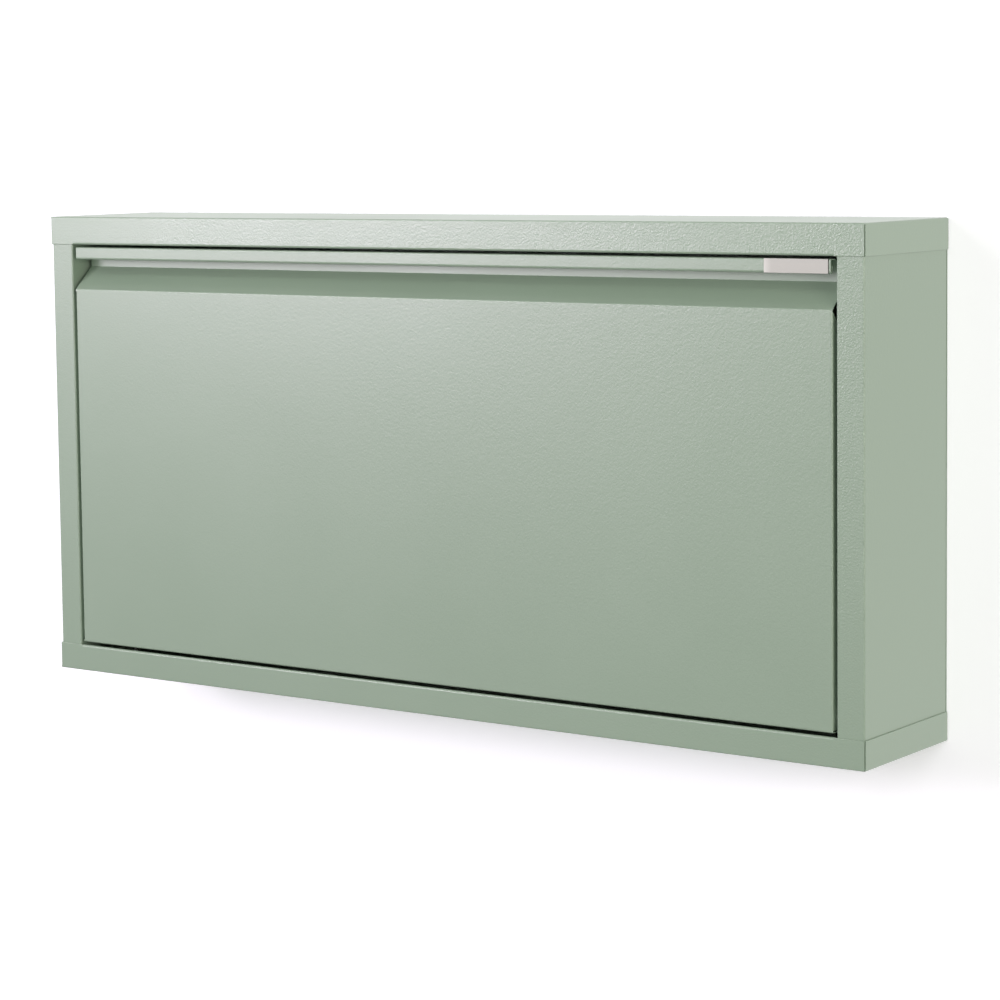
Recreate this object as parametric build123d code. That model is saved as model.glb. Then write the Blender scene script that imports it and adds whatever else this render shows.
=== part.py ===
from build123d import *
from math import atan2, cos, radians, sin, sqrt
import os

# Slim wall-hung cabinet of folded sheet steel with one tilt-out flap across its whole front.
# Millimetres, +Z up, front towards -Y. The origin is the centre of the rear face, on the wall,
# which is also the centre of the four wall-screw holes.

# Overall size
width = 900.0
height = 450.0
depth = 150.0

# Sheet and folds
sheet = 0.8
inner_bend = 0.7
bend_relief = 2.0
corner_relief = 1.0
hem_bend = 1.2
hem_height = 6.0

# Carcass
top_flange = 27.2
bottom_flange = 25.6
cap_rear_flange = 24.0
cap_fit = 0.4
cap_edge_round = 0.5
edge_gap = 1.2
stile_width = 25.7
return_depth = 28.0
rear_flange = 22.0
flange_gap = 2.0
back_inset = 1.2
tab_width = 22.0
tab_length = 70.0
tab_wall = 8.0

# Flap
flap_top_gap = 2.5
flap_bottom_gap = 3.0
side_gap = 3.75
flap_side_flange = 24.0
flap_mitre = 26.0
flap_bottom_flange = 14.0
grip_drop = 41.5
grip_depth = 23.5
grip_rise = 21.7
lip_height = 12.0
lip_inset = 1.5
lip_notch = 4.0

# Shoe tray and cheeks
tray_rear_gap = 11.25
tray_top_drop = 91.5
tray_floor_front = 23.0
tray_floor_rear = 33.0
tray_front_lip = 15.0
tray_top_hem = 10.0
tray_side_flange = 28.0
cheek_clear = 0.3
cheek_toe = 20.0
cheek_floor_margin = 6.0

# Pivot
pivot_setback = 13.0
pivot_rise = 12.5
pin_radius = 3.0
pin_head_radius = 6.0
pin_head = 2.0
running_fit = 0.05
seat_fit = 0.05
retainer_radius = 5.5
retainer_thickness = 1.0
pivot_play = 0.5
bush_radius = 5.0
bush_flange_radius = 8.0
bush_reach = 8.0
bush_barb = 0.6
bush_barb_length = 1.5
bush_barb_gap = 0.1

# Tilt stop
tilt_angle = 38.0
stop_setback = 16.5
stop_gap = 0.3
sleeve_radius = 5.0
sleeve_length = 14.0

# Closing buffers
buffer_radius = 6.0
buffer_gap = 0.3
buffer_x = 300.0
buffer_drop = 20.0

# Fasteners
screw_radius = 2.5
hole_play = 0.25
stud_length = 10.0
nut_across = 8.0
nut_height = 4.0
nut_flange_radius = 5.5
nut_flange = 1.2
screw_head_radius = 4.8
screw_head = 3.0
rivet_radius = 1.6
rivet_head_radius = 3.2
rivet_head = 1.1
rivet_bulb_radius = 2.4
rivet_bulb = 2.0
flap_rivet_count = 4
rivet_end = 22.0
rivet_setback = 16.0
tray_rivet_count = 3
stop_rivet_gap = 40.0
cap_stud_spacing = 44.0
back_stud_rows = 3
back_stud_end = 60.0
cap_rear_studs = 3
cap_rear_stud_spacing = 360.0

# Wall screws
wall_hole_radius = 3.25
wall_hole_span_x = 780.0
wall_hole_span_z = 370.0

# Plate on the lip
plate_length = 60.5
plate_thickness = 0.5
plate_end_gap = 1.6

# Faces that several pieces share
outer_bend = inner_bend + sheet
hem_radius = hem_bend + sheet
half_width = width / 2
z_top = height / 2
z_under = z_top - sheet
y_front = -depth
y_carcass = -sheet
x_side = half_width - sheet - cap_fit
y_stile = y_front + sheet + cap_fit
z_top_edge = z_top - top_flange
z_bottom_edge = bottom_flange - z_top
x_opening = x_side - stile_width
x_flap = x_opening - side_gap
z_flap_top = z_top_edge - flap_top_gap
z_flap_bottom = z_bottom_edge + flap_bottom_gap
z_lip_bottom = z_flap_top - lip_height
z_face_top = z_flap_top - grip_drop
y_flap_inner = y_stile + sheet
x_cheek = x_flap - sheet
x_tray = x_cheek - sheet
x_tray_inner = x_tray - sheet
y_tray = y_carcass - tray_rear_gap
z_tray_top = z_flap_top - tray_top_drop
z_floor_front = z_flap_bottom + tray_floor_front
z_floor_rear = z_flap_bottom + tray_floor_rear
y_pivot = y_stile + pivot_setback
z_pivot = z_flap_bottom + pivot_rise
tab_x = x_side - sheet - tab_width / 2
tab_y = y_front / 2
nut_radius = nut_across / sqrt(3)

# The stop screw's height in the closed flap: at full tilt its sleeve meets the stile return's rear edge.
tilt = radians(tilt_angle)
y_stop = y_tray - stop_setback
stop_offset = y_stile + return_depth + sleeve_radius + stop_gap - y_pivot
stop_rise = (y_stop - y_pivot - stop_offset * cos(tilt)) / sin(tilt)
z_stop = z_pivot + stop_rise * cos(tilt) - stop_offset * sin(tilt)

ALONG_X = Rot(0, 90, 0)
ALONG_FRONT = Rot(90, 0, 0)
FROM_BASE = (Align.CENTER, Align.CENTER, Align.MIN)
LEFT = 1
RIGHT = -1


def fold(points, side):
    """The outline of a folded sheet, drawn along one face, with the sheet on its LEFT or RIGHT."""
    line = [Vector(*point) for point in points]
    steps = [(end - start).normalized() for start, end in zip(line, line[1:])]
    across = [Vector(-step.Y, step.X) * side * sheet for step in steps]
    far = [line[0] + across[0]]
    radii = []
    far_radii = []
    for corner, before, after in zip(line[1:-1], across, across[1:]):
        far.append(corner + (before + after) * (sheet ** 2 / (sheet ** 2 + before.dot(after))))
        towards_sheet = before.cross(after).Z * side > 0
        radii.append(outer_bend if towards_sheet else inner_bend)
        far_radii.append(inner_bend if towards_sheet else outer_bend)
    far.append(line[-1] + across[-1])
    ends = [Line(line[0], far[0]), Line(line[-1], far[-1])]
    return make_face([FilletPolyline(*line, radius=radii), FilletPolyline(*far, radius=far_radii), *ends])


def prism_x(outline, half_length):
    """A YZ outline carried along X to both sides."""
    return extrude(Plane.YZ * outline, amount=half_length, both=True)


def prism_z(outline, low, high):
    """An XY outline carried up from one height to another."""
    return Pos(0, 0, low) * extrude(outline, amount=high - low)


def block(x0, x1, y0, y1, z0, z1):
    """A box between two corners."""
    corner = Pos(x0, y0, z0)
    return corner * Box(x1 - x0, y1 - y0, z1 - z0, align=(Align.MIN, Align.MIN, Align.MIN))


def rod_x(radius, x0, x1, y, z):
    """A cylinder along X."""
    return Pos(x0, y, z) * ALONG_X * Cylinder(radius, x1 - x0, align=FROM_BASE)


def rod_front(radius, x, z, y0, length):
    """A cylinder from y0 towards the front."""
    return Pos(x, y0, z) * ALONG_FRONT * Cylinder(radius, length, align=FROM_BASE)


def spread(low, high, count):
    """Evenly spaced places from low to high."""
    return [low + (high - low) * i / (count - 1) for i in range(count)]


def other_side(shape):
    """The mirror image on the other side of the cabinet's middle."""
    return mirror(shape, about=Plane.YZ)


def hem(y_face, z_edge, half_length):
    """An open hem: the sheet's edge turned back up behind itself, with a round edge below."""
    straight = hem_height - hem_radius
    upright = (Align.CENTER, Align.MIN)
    outside = Circle(hem_radius) + Rectangle(2 * hem_radius, straight, align=upright)
    inside = Circle(hem_bend) + Rectangle(2 * hem_bend, straight, align=upright)
    middle = Pos(y_face + hem_radius, z_edge + hem_radius)
    return prism_x(middle * (outside - inside), half_length)


def flange_nut(bore):
    """A hexagon nut with a flange, standing on its flange."""
    body = extrude(RegularPolygon(nut_radius, 6), amount=nut_height)
    skirt = Cylinder(nut_flange_radius, nut_flange, align=FROM_BASE)
    return body + skirt - Cylinder(bore, nut_height, align=FROM_BASE)


def stud():
    """A threaded weld stud with a chamfered tip, standing on its weld."""
    shank = Cylinder(screw_radius, stud_length, align=FROM_BASE)
    return chamfer(shank.edges().sort_by(Axis.Z)[-1], screw_radius / 4)


def rivet(y, z, x_outer, x_inner):
    """A blind rivet through the sheets between two faces, with its head outside."""
    head = rod_x(rivet_head_radius, x_outer, x_outer + rivet_head, y, z)
    head = chamfer(head.edges().sort_by(Axis.X)[-1], rivet_head / 2)
    shank = rod_x(rivet_radius, x_inner, x_outer, y, z)
    bulb = rod_x(rivet_bulb_radius, x_inner - rivet_bulb, x_inner, y, z)
    bulb = fillet(bulb.edges().sort_by(Axis.X)[0], rivet_bulb / 2)
    return head + shank + bulb


def save(node, *solids):
    """Writes one piece, or a group of like pieces, under its name."""
    shape = solids[0] if len(solids) == 1 else Compound(children=list(solids))
    export_step(shape, "parts/" + node + ".step")


# Places of the repeated fasteners
cap_stud_rows = spread(tab_y - cap_stud_spacing / 2, tab_y + cap_stud_spacing / 2, 2)
cap_stud_places = [(x, y) for x in (-tab_x, tab_x) for y in cap_stud_rows]
back_x = x_side - rear_flange / 2
back_rows = spread(back_stud_end - z_top, z_top - back_stud_end, back_stud_rows)
cap_rear_z = z_top - cap_rear_flange / 2
cap_rear_span = cap_rear_stud_spacing * (cap_rear_studs - 1) / 2
cap_rear_columns = spread(-cap_rear_span, cap_rear_span, cap_rear_studs)
cap_rear_places = [(x, z) for x in cap_rear_columns for z in (-cap_rear_z, cap_rear_z)]
back_stud_places = [(x, z) for x in (-back_x, back_x) for z in back_rows] + cap_rear_places
y_front_rivet = y_stile + rivet_setback
y_tray_rivet = y_tray - tray_side_flange / 2

# The cheek's top is an arc about the pivot, so that it passes the opening at one height.
y_cheek_front = y_stile + outer_bend + cheek_clear
y_cheek_rear = y_tray - outer_bend
z_cheek_bottom = z_flap_bottom + outer_bend + cheek_clear
cheek_radius = sqrt((y_cheek_rear - y_pivot) ** 2 + (z_tray_top - z_pivot) ** 2)
z_cheek_front = z_pivot + sqrt(cheek_radius ** 2 - (y_cheek_front - y_pivot) ** 2)
front_rivets = spread(z_pivot + rivet_end, z_cheek_front - rivet_end, flap_rivet_count)
tray_rivets = [z_floor_rear + rivet_end]
tray_rivets += spread(z_stop + stop_rivet_gap, z_tray_top - rivet_end, tray_rivet_count)

os.makedirs("parts", exist_ok=True)

# Caps: trays that wrap over the panels, open at the front corners, with a hem between the stiles.
# The rear flange lies between the side panels' rear flanges, in front of the back panel.
def cap(z_edge):
    """The cap as it sits on top, with its front and side flanges down to z_edge."""
    outside = block(-half_width, half_width, y_front, y_carcass, z_edge, z_top)
    outside = fillet(outside.faces().sort_by(Axis.Z)[-1].edges(), outer_bend)
    outside = fillet(outside.faces().sort_by(Axis.Z)[0].edges(), cap_edge_round)
    x_inner = half_width - sheet
    y_inner = y_front + sheet
    y_rear = y_carcass - sheet
    inside = block(-x_inner, x_inner, y_inner, y_rear, z_edge, z_under)
    inside = fillet(inside.faces().sort_by(Axis.Z)[-1].edges(), inner_bend)
    z_fold = z_top - outer_bend
    x_slit = half_width - corner_relief
    x_rear = x_side - rear_flange - flange_gap
    hem_half = x_opening - bend_relief
    front_slit = block(x_slit, half_width, y_front, y_front + corner_relief, z_edge, z_fold)
    rear_corner = block(x_rear, x_inner, y_rear, y_carcass, z_edge, z_fold)
    cuts = [front_slit, other_side(front_slit), rear_corner, other_side(rear_corner)]
    cuts += [block(-x_rear, x_rear, y_rear, y_carcass, z_edge, z_top - cap_rear_flange)]
    cuts += [block(-hem_half, hem_half, y_front, y_inner, z_edge, z_edge + hem_radius)]
    for x, z in cap_rear_places:
        if z > 0:
            cuts += [rod_front(screw_radius + hole_play, x, z, y_carcass, sheet)]
    return outside - inside - cuts + hem(y_front, z_edge, hem_half)


save("top_cap", cap(z_top_edge))
save("bottom_cap", mirror(cap(-z_bottom_edge), about=Plane.XY))

# Side panels: side wall, front stile with its inner return, rear flange, and a tab under each cap.
side_points = [
    (x_opening, y_stile + return_depth),
    (x_opening, y_stile),
    (x_side, y_stile),
    (x_side, y_carcass),
    (x_side - rear_flange, y_carcass),
]
z_side_top = z_under - edge_gap
right_side_panel = prism_z(fold(side_points, LEFT), -z_side_top, z_side_top)
tab_points = [(x_side, z_under - tab_wall), (x_side, z_under), (x_side - sheet - tab_width, z_under)]
tab_plane = Plane((0, tab_y + tab_length / 2, 0), x_dir=(1, 0, 0), z_dir=(0, -1, 0))
tab = extrude(tab_plane * fold(tab_points, LEFT), amount=tab_length)
right_side_panel += [tab, mirror(tab, about=Plane.XY)]
side_holes = [rod_x(bush_radius + seat_fit, x_opening, x_opening + sheet, y_pivot, z_pivot)]
side_holes += [rod_front(screw_radius + hole_play, back_x, z, y_carcass, sheet) for z in back_rows]
for x, y in cap_stud_places:
    if x > 0:
        hole = Cylinder(screw_radius + hole_play, sheet, align=FROM_BASE)
        side_holes += [Pos(x, y, z_under - sheet) * hole, Pos(x, y, -z_under) * hole]
right_side_panel -= side_holes
save("right_side_panel", right_side_panel)
save("left_side_panel", other_side(right_side_panel))

# Back panel: a flat sheet behind the flanges, with the four wall-screw holes.
x_back = half_width - back_inset
z_back = z_top - back_inset
back_panel = block(-x_back, x_back, y_carcass, 0, -z_back, z_back)
for x in (-wall_hole_span_x / 2, wall_hole_span_x / 2):
    for z in (-wall_hole_span_z / 2, wall_hole_span_z / 2):
        back_panel -= rod_front(wall_hole_radius, x, z, 0, sheet)
save("back_panel", back_panel)

# Weld studs on the caps and the back panel, with flange nuts on the inside of what they hold.
nut = flange_nut(screw_radius + seat_fit)
cap_studs = [Pos(x, y, -z_under) * stud() for x, y in cap_stud_places]
cap_nuts = [Pos(x, y, sheet - z_under) * nut for x, y in cap_stud_places]
save("bottom_cap_studs", *cap_studs)
save("bottom_cap_nuts", *cap_nuts)
save("top_cap_studs", *[mirror(piece, about=Plane.XY) for piece in cap_studs])
save("top_cap_nuts", *[mirror(piece, about=Plane.XY) for piece in cap_nuts])
save("back_panel_studs", *[Pos(x, y_carcass, z) * ALONG_FRONT * stud() for x, z in back_stud_places])
save("back_panel_nuts", *[Pos(x, y_carcass - sheet, z) * ALONG_FRONT * nut for x, z in back_stud_places])

# Closing buffers: rubber dots on the back panel that the tray comes to rest against.
buffer_length = y_carcass - y_tray - buffer_gap
z_buffer = z_tray_top - buffer_drop
buffers = [rod_front(buffer_radius, x, z_buffer, y_carcass, buffer_length) for x in (-buffer_x, buffer_x)]
save("closing_buffers", *buffers)

# Pivot bushes: flanged nylon bushes snapped into the stile returns.
bush_flange = side_gap - retainer_thickness - pivot_play
x_barb = x_opening + sheet + bush_barb_gap
x_bush_end = x_opening + sheet + bush_reach
right_bush = rod_x(bush_flange_radius, x_opening - bush_flange, x_opening, y_pivot, z_pivot)
right_bush += rod_x(bush_radius, x_opening, x_bush_end, y_pivot, z_pivot)
right_bush += rod_x(bush_radius + bush_barb, x_barb, x_barb + bush_barb_length, y_pivot, z_pivot)
right_bush -= rod_x(pin_radius + running_fit, x_opening - bush_flange, x_bush_end, y_pivot, z_pivot)
save("right_pivot_bush", right_bush)
save("left_pivot_bush", other_side(right_bush))

# Flap front: one sheet. The face folds back at the sides and below, and its top folds into the grip:
# a slanted face, a back wall, a top and a hemmed lip. The side flanges' tops are mitred down to the cheeks.
face_points = [
    (-x_flap, y_stile + flap_side_flange),
    (-x_flap, y_stile),
    (x_flap, y_stile),
    (x_flap, y_stile + flap_side_flange),
]
grip_points = [
    (y_stile, z_face_top - bend_relief),
    (y_stile, z_face_top),
    (y_stile + grip_depth, z_face_top + grip_rise),
    (y_stile + grip_depth, z_flap_top - sheet),
    (y_stile + sheet, z_flap_top - sheet),
    (y_stile + sheet, z_lip_bottom + hem_height),
]
foot_points = [
    (y_stile + flap_bottom_flange, z_flap_bottom),
    (y_stile, z_flap_bottom),
    (y_stile, z_flap_bottom + bend_relief),
]
z_flange_top = z_face_top - bend_relief
mitre = Polygon(
    (y_stile + outer_bend, z_flange_top),
    (y_stile + flap_side_flange, z_flange_top),
    (y_stile + flap_side_flange, z_flange_top - flap_mitre),
    align=None,
)
lip_half = x_flap - lip_inset
flap_front = prism_z(fold(face_points, LEFT), z_flap_bottom + bend_relief, z_flange_top)
flap_front -= prism_x(mitre, x_flap)
flap_front += prism_x(fold(grip_points, RIGHT), x_flap)
flap_front += prism_x(fold(foot_points, RIGHT), x_flap)
flap_front += hem(y_stile, z_lip_bottom, lip_half)
lip_end = block(lip_half, x_flap, y_stile, y_stile + lip_notch, z_lip_bottom, z_flap_top)
flap_holes = [rod_x(rivet_radius + seat_fit, x_cheek, x_flap, y_front_rivet, z) for z in front_rivets]
flap_holes += [rod_x(pin_radius + seat_fit, x_cheek, x_flap, y_pivot, z_pivot), lip_end]
flap_front -= flap_holes
flap_front -= [other_side(hole) for hole in flap_holes]
save("flap_front", flap_front)

# Cheeks: flat sides of the shoe space, against the flap's side flanges and the tray's.
arc_start = atan2(y_cheek_rear - y_pivot, z_tray_top - z_pivot)
arc_end = atan2(y_cheek_front - y_pivot, z_cheek_front - z_pivot)
arc_middle = (arc_start + arc_end) / 2
cheek_line = Polyline(
    (y_cheek_front, z_cheek_front),
    (y_cheek_front, z_cheek_bottom),
    (y_pivot + cheek_toe, z_cheek_bottom),
    (y_cheek_rear, z_floor_rear - cheek_floor_margin),
    (y_cheek_rear, z_tray_top),
)
cheek_arc = ThreePointArc(
    (y_cheek_rear, z_tray_top),
    (y_pivot + cheek_radius * sin(arc_middle), z_pivot + cheek_radius * cos(arc_middle)),
    (y_cheek_front, z_cheek_front),
)
cheek_outline = make_face(cheek_line.edges() + cheek_arc.edges())
right_cheek = Pos(x_tray, 0, 0) * extrude(Plane.YZ * cheek_outline, amount=sheet)
cheek_holes = [rod_x(rivet_radius + seat_fit, x_tray, x_cheek, y_front_rivet, z) for z in front_rivets]
cheek_holes += [rod_x(rivet_radius + seat_fit, x_tray, x_cheek, y_tray_rivet, z) for z in tray_rivets]
cheek_holes += [rod_x(pin_radius + seat_fit, x_tray, x_cheek, y_pivot, z_pivot)]
cheek_holes += [rod_x(screw_radius + hole_play, x_tray, x_cheek, y_stop, z_stop)]
right_cheek -= cheek_holes
save("right_cheek", right_cheek)
save("left_cheek", other_side(right_cheek))

# Shoe tray: floor and back in one sheet, with a front lip on the flap's face and flanges on the cheeks.
tray_points = [
    (y_flap_inner, z_floor_front + tray_front_lip),
    (y_flap_inner, z_floor_front),
    (y_tray, z_floor_rear),
    (y_tray, z_tray_top),
    (y_tray - tray_top_hem, z_tray_top),
]
tray_side_points = [
    (-x_tray, y_tray - tray_side_flange),
    (-x_tray, y_tray),
    (x_tray, y_tray),
    (x_tray, y_tray - tray_side_flange),
]
shoe_tray = prism_x(fold(tray_points, LEFT), x_tray - outer_bend - corner_relief)
shoe_tray += prism_z(fold(tray_side_points, RIGHT), z_floor_rear + bend_relief, z_tray_top - bend_relief)
tray_holes = [rod_x(rivet_radius + seat_fit, x_tray_inner, x_tray, y_tray_rivet, z) for z in tray_rivets]
tray_holes += [rod_x(screw_radius + hole_play, x_tray_inner, x_tray, y_stop, z_stop)]
shoe_tray -= tray_holes
shoe_tray -= [other_side(hole) for hole in tray_holes]
save("shoe_tray", shoe_tray)

# Rivets: flap to cheeks, and cheeks to tray.
flap_rivets = [rivet(y_front_rivet, z, x_flap, x_tray) for z in front_rivets]
cheek_rivets = [rivet(y_tray_rivet, z, x_cheek, x_tray_inner) for z in tray_rivets]
save("flap_rivets", *flap_rivets, *[other_side(piece) for piece in flap_rivets])
save("tray_rivets", *cheek_rivets, *[other_side(piece) for piece in cheek_rivets])

# Pivot pins: headed pins from inside the flap, held by push-on retainers, running in the bushes.
right_pin = rod_x(pin_head_radius, x_tray - pin_head, x_tray, y_pivot, z_pivot)
right_pin += rod_x(pin_radius, x_tray, x_bush_end, y_pivot, z_pivot)
save("right_pivot_pin", right_pin)
save("left_pivot_pin", other_side(right_pin))
retainer = rod_x(retainer_radius, x_flap, x_flap + retainer_thickness, y_pivot, z_pivot)
retainer -= rod_x(pin_radius + seat_fit, x_flap, x_flap + retainer_thickness, y_pivot, z_pivot)
save("pivot_retainers", retainer, other_side(retainer))

# Tilt stop: a screw through tray and cheek with a nut outside and a rubber sleeve on its end.
x_sleeve = x_cheek + nut_height
x_screw_end = x_sleeve + sleeve_length
right_screw = rod_x(screw_head_radius, x_tray_inner - screw_head, x_tray_inner, y_stop, z_stop)
right_screw = chamfer(right_screw.edges().sort_by(Axis.X)[0], screw_head / 3)
right_screw += rod_x(screw_radius, x_tray_inner, x_screw_end, y_stop, z_stop)
save("right_stop_screw", right_screw)
save("left_stop_screw", other_side(right_screw))
stop_nut = Pos(x_cheek, y_stop, z_stop) * ALONG_X * nut
save("stop_nuts", stop_nut, other_side(stop_nut))
sleeve = rod_x(sleeve_radius, x_sleeve, x_screw_end, y_stop, z_stop)
sleeve -= rod_x(screw_radius + seat_fit, x_sleeve, x_screw_end, y_stop, z_stop)
save("stop_sleeves", sleeve, other_side(sleeve))

# Blank plate at the right end of the lip.
x_plate = lip_half - plate_end_gap
label_plate = block(
    x_plate - plate_length, x_plate, y_stile - plate_thickness, y_stile, z_lip_bottom, z_flap_top
)
label_plate = chamfer(label_plate.faces().sort_by(Axis.Y)[0].edges(), plate_thickness / 3)
save("label_plate", label_plate)
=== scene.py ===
import math

import bmesh
import bpy
from mathutils import Matrix, Vector


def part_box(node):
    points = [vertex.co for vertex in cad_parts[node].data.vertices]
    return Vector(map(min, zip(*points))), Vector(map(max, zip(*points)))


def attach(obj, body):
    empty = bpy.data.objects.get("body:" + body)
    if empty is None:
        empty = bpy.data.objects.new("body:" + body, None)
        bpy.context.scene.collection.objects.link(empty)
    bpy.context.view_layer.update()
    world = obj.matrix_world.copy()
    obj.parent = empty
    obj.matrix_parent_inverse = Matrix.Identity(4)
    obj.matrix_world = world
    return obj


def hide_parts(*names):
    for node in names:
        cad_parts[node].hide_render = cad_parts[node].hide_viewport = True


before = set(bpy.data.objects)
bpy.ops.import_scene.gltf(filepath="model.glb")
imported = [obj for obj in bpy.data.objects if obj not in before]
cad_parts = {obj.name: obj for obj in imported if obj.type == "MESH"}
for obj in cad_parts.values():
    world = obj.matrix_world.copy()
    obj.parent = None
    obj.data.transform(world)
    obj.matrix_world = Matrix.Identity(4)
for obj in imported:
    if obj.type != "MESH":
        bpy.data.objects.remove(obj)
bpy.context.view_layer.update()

# Back panel: a flat sheet-steel blank behind the carcass, with four holes for the wall screws.
# Like every sheet of the cabinet it is powder coated in sage green and baked, which leaves a satin
# skin with a fine grain over a wider orange peel.
sage = (0.261, 0.351, 0.256, 1.0)
sage_pale = (0.309, 0.400, 0.302, 1.0)
mix_first = 6  # sockets of a Mix node for colours
mix_second = 7
mix_result = 2


def powder_skin():
    """The baked powder's skin: slow clouds in the colour and gloss, and a grain over an orange peel.
    The powder lies thicker, and so grainier, on the front faces and toward their top and right end."""
    group = bpy.data.node_groups.new("powder_skin", "ShaderNodeTree")
    sockets = group.interface
    sockets.new_socket("Place", in_out="INPUT", socket_type="NodeSocketVector")
    sockets.new_socket("Sheet", in_out="INPUT", socket_type="NodeSocketVector")
    sockets.new_socket("Thickness", in_out="INPUT", socket_type="NodeSocketFloat").default_value = 1.0
    sockets.new_socket("Paint", in_out="INPUT", socket_type="NodeSocketColor").default_value = sage
    pale_paint = sockets.new_socket("Pale Paint", in_out="INPUT", socket_type="NodeSocketColor")
    pale_paint.default_value = sage_pale
    sockets.new_socket("Satin", in_out="INPUT", socket_type="NodeSocketFloat")
    sockets.new_socket("Color", in_out="OUTPUT", socket_type="NodeSocketColor")
    sockets.new_socket("Roughness", in_out="OUTPUT", socket_type="NodeSocketFloat")
    sockets.new_socket("Height", in_out="OUTPUT", socket_type="NodeSocketFloat")
    nodes, links = group.nodes, group.links
    given = nodes.new("NodeGroupInput")
    result = nodes.new("NodeGroupOutput")

    def cells(per_metre, detail):
        noise = nodes.new("ShaderNodeTexNoise")
        noise.inputs["Scale"].default_value = per_metre
        noise.inputs["Detail"].default_value = detail
        links.new(given.outputs["Place"], noise.inputs["Vector"])
        return noise.outputs["Fac"]

    def scaled(value, times, plus):
        step = nodes.new("ShaderNodeMath")
        step.operation = "MULTIPLY_ADD"
        links.new(value, step.inputs[0])
        step.inputs[1].default_value = times
        step.inputs[2].default_value = plus
        return step.outputs[0]

    def joined(operation, first, second):
        step = nodes.new("ShaderNodeMath")
        step.operation = operation
        links.new(first, step.inputs[0])
        links.new(second, step.inputs[1])
        return step.outputs[0]

    def eased(value, start, end, at_start, at_end):
        ramp = nodes.new("ShaderNodeMapRange")
        ramp.inputs["From Min"].default_value = start
        ramp.inputs["From Max"].default_value = end
        ramp.inputs["To Min"].default_value = at_start
        ramp.inputs["To Max"].default_value = at_end
        links.new(value, ramp.inputs["Value"])
        return ramp.outputs["Result"]

    clouds = cells(per_metre=7.0, detail=3.0)
    peel = cells(per_metre=540.0, detail=1.0)
    grain = cells(per_metre=1100.0, detail=1.0)
    cloud_tint = scaled(clouds, times=0.35, plus=-0.10)
    grain_tint = scaled(grain, times=0.10, plus=-0.05)
    tint = nodes.new("ShaderNodeMix")
    tint.data_type = "RGBA"
    links.new(joined("ADD", cloud_tint, grain_tint), tint.inputs["Factor"])
    links.new(given.outputs["Paint"], tint.inputs[mix_first])
    links.new(given.outputs["Pale Paint"], tint.inputs[mix_second])
    links.new(tint.outputs[mix_result], result.inputs["Color"])
    cloud_gloss = scaled(clouds, times=0.10, plus=-0.05)
    links.new(joined("ADD", given.outputs["Satin"], cloud_gloss), result.inputs["Roughness"])
    sheet = nodes.new("ShaderNodeSeparateXYZ")
    links.new(given.outputs["Sheet"], sheet.inputs["Vector"])
    to_right = eased(sheet.outputs["X"], start=-0.45, end=0.45, at_start=0.7, at_end=1.5)
    to_rear = eased(sheet.outputs["Y"], start=-0.148, end=-0.140, at_start=1.0, at_end=0.3)
    to_top = eased(sheet.outputs["Z"], start=-0.2, end=0.2, at_start=0.6, at_end=1.1)
    thick = joined("MULTIPLY", given.outputs["Thickness"], to_right)
    thick = joined("MULTIPLY", thick, to_rear)
    thick = joined("MULTIPLY", thick, to_top)
    peel_relief = scaled(peel, times=0.65, plus=-0.325)
    grain_relief = scaled(grain, times=0.35, plus=-0.175)
    relief = joined("ADD", peel_relief, grain_relief)
    links.new(joined("MULTIPLY", relief, thick), result.inputs["Height"])
    return group


powder = powder_skin()


def sage_coat(name, shift, thickness=1.0, paint=sage, pale_paint=sage_pale, satin=0.34):
    """One sheet's own coat, with the grain shifted so that it doesn't run on into its neighbour."""
    coat = bpy.data.materials.new(name)
    coat.use_nodes = True
    nodes, links = coat.node_tree.nodes, coat.node_tree.links
    place = nodes.new("ShaderNodeTexCoord")
    moved = nodes.new("ShaderNodeMapping")
    moved.inputs["Location"].default_value = shift
    skin = nodes.new("ShaderNodeGroup")
    skin.node_tree = powder
    skin.inputs["Thickness"].default_value = thickness
    skin.inputs["Satin"].default_value = satin
    skin.inputs["Paint"].default_value = paint
    skin.inputs["Pale Paint"].default_value = pale_paint
    relief = nodes.new("ShaderNodeBump")
    relief.inputs["Strength"].default_value = 1.0
    relief.inputs["Distance"].default_value = 0.0002
    shader = nodes["Principled BSDF"]
    shader.inputs["Specular IOR Level"].default_value = 0.75
    links.new(place.outputs["Object"], moved.inputs["Vector"])
    links.new(moved.outputs["Vector"], skin.inputs["Place"])
    links.new(place.outputs["Object"], skin.inputs["Sheet"])
    links.new(skin.outputs["Color"], shader.inputs["Base Color"])
    links.new(skin.outputs["Roughness"], shader.inputs["Roughness"])
    links.new(skin.outputs["Height"], relief.inputs["Height"])
    links.new(relief.outputs["Normal"], shader.inputs["Normal"])
    return coat


def dress(node, finish):
    """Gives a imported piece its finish."""
    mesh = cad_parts[node].data
    mesh.materials.clear()
    mesh.materials.append(finish)


dress("back_panel", sage_coat("back_panel_coat", shift=(0.0, 0.0, 0.0)))

# Side panels: each is one folded sheet with the side wall, the front stile and its inner return,
# and a rear flange. They stand between the caps and carry the pivots.
dress("left_side_panel", sage_coat("left_side_coat", shift=(0.31, 0.12, 0.23), thickness=1.4))
dress("right_side_panel", sage_coat("right_side_coat", shift=(0.53, 0.71, 0.14), thickness=1.4))

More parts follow.
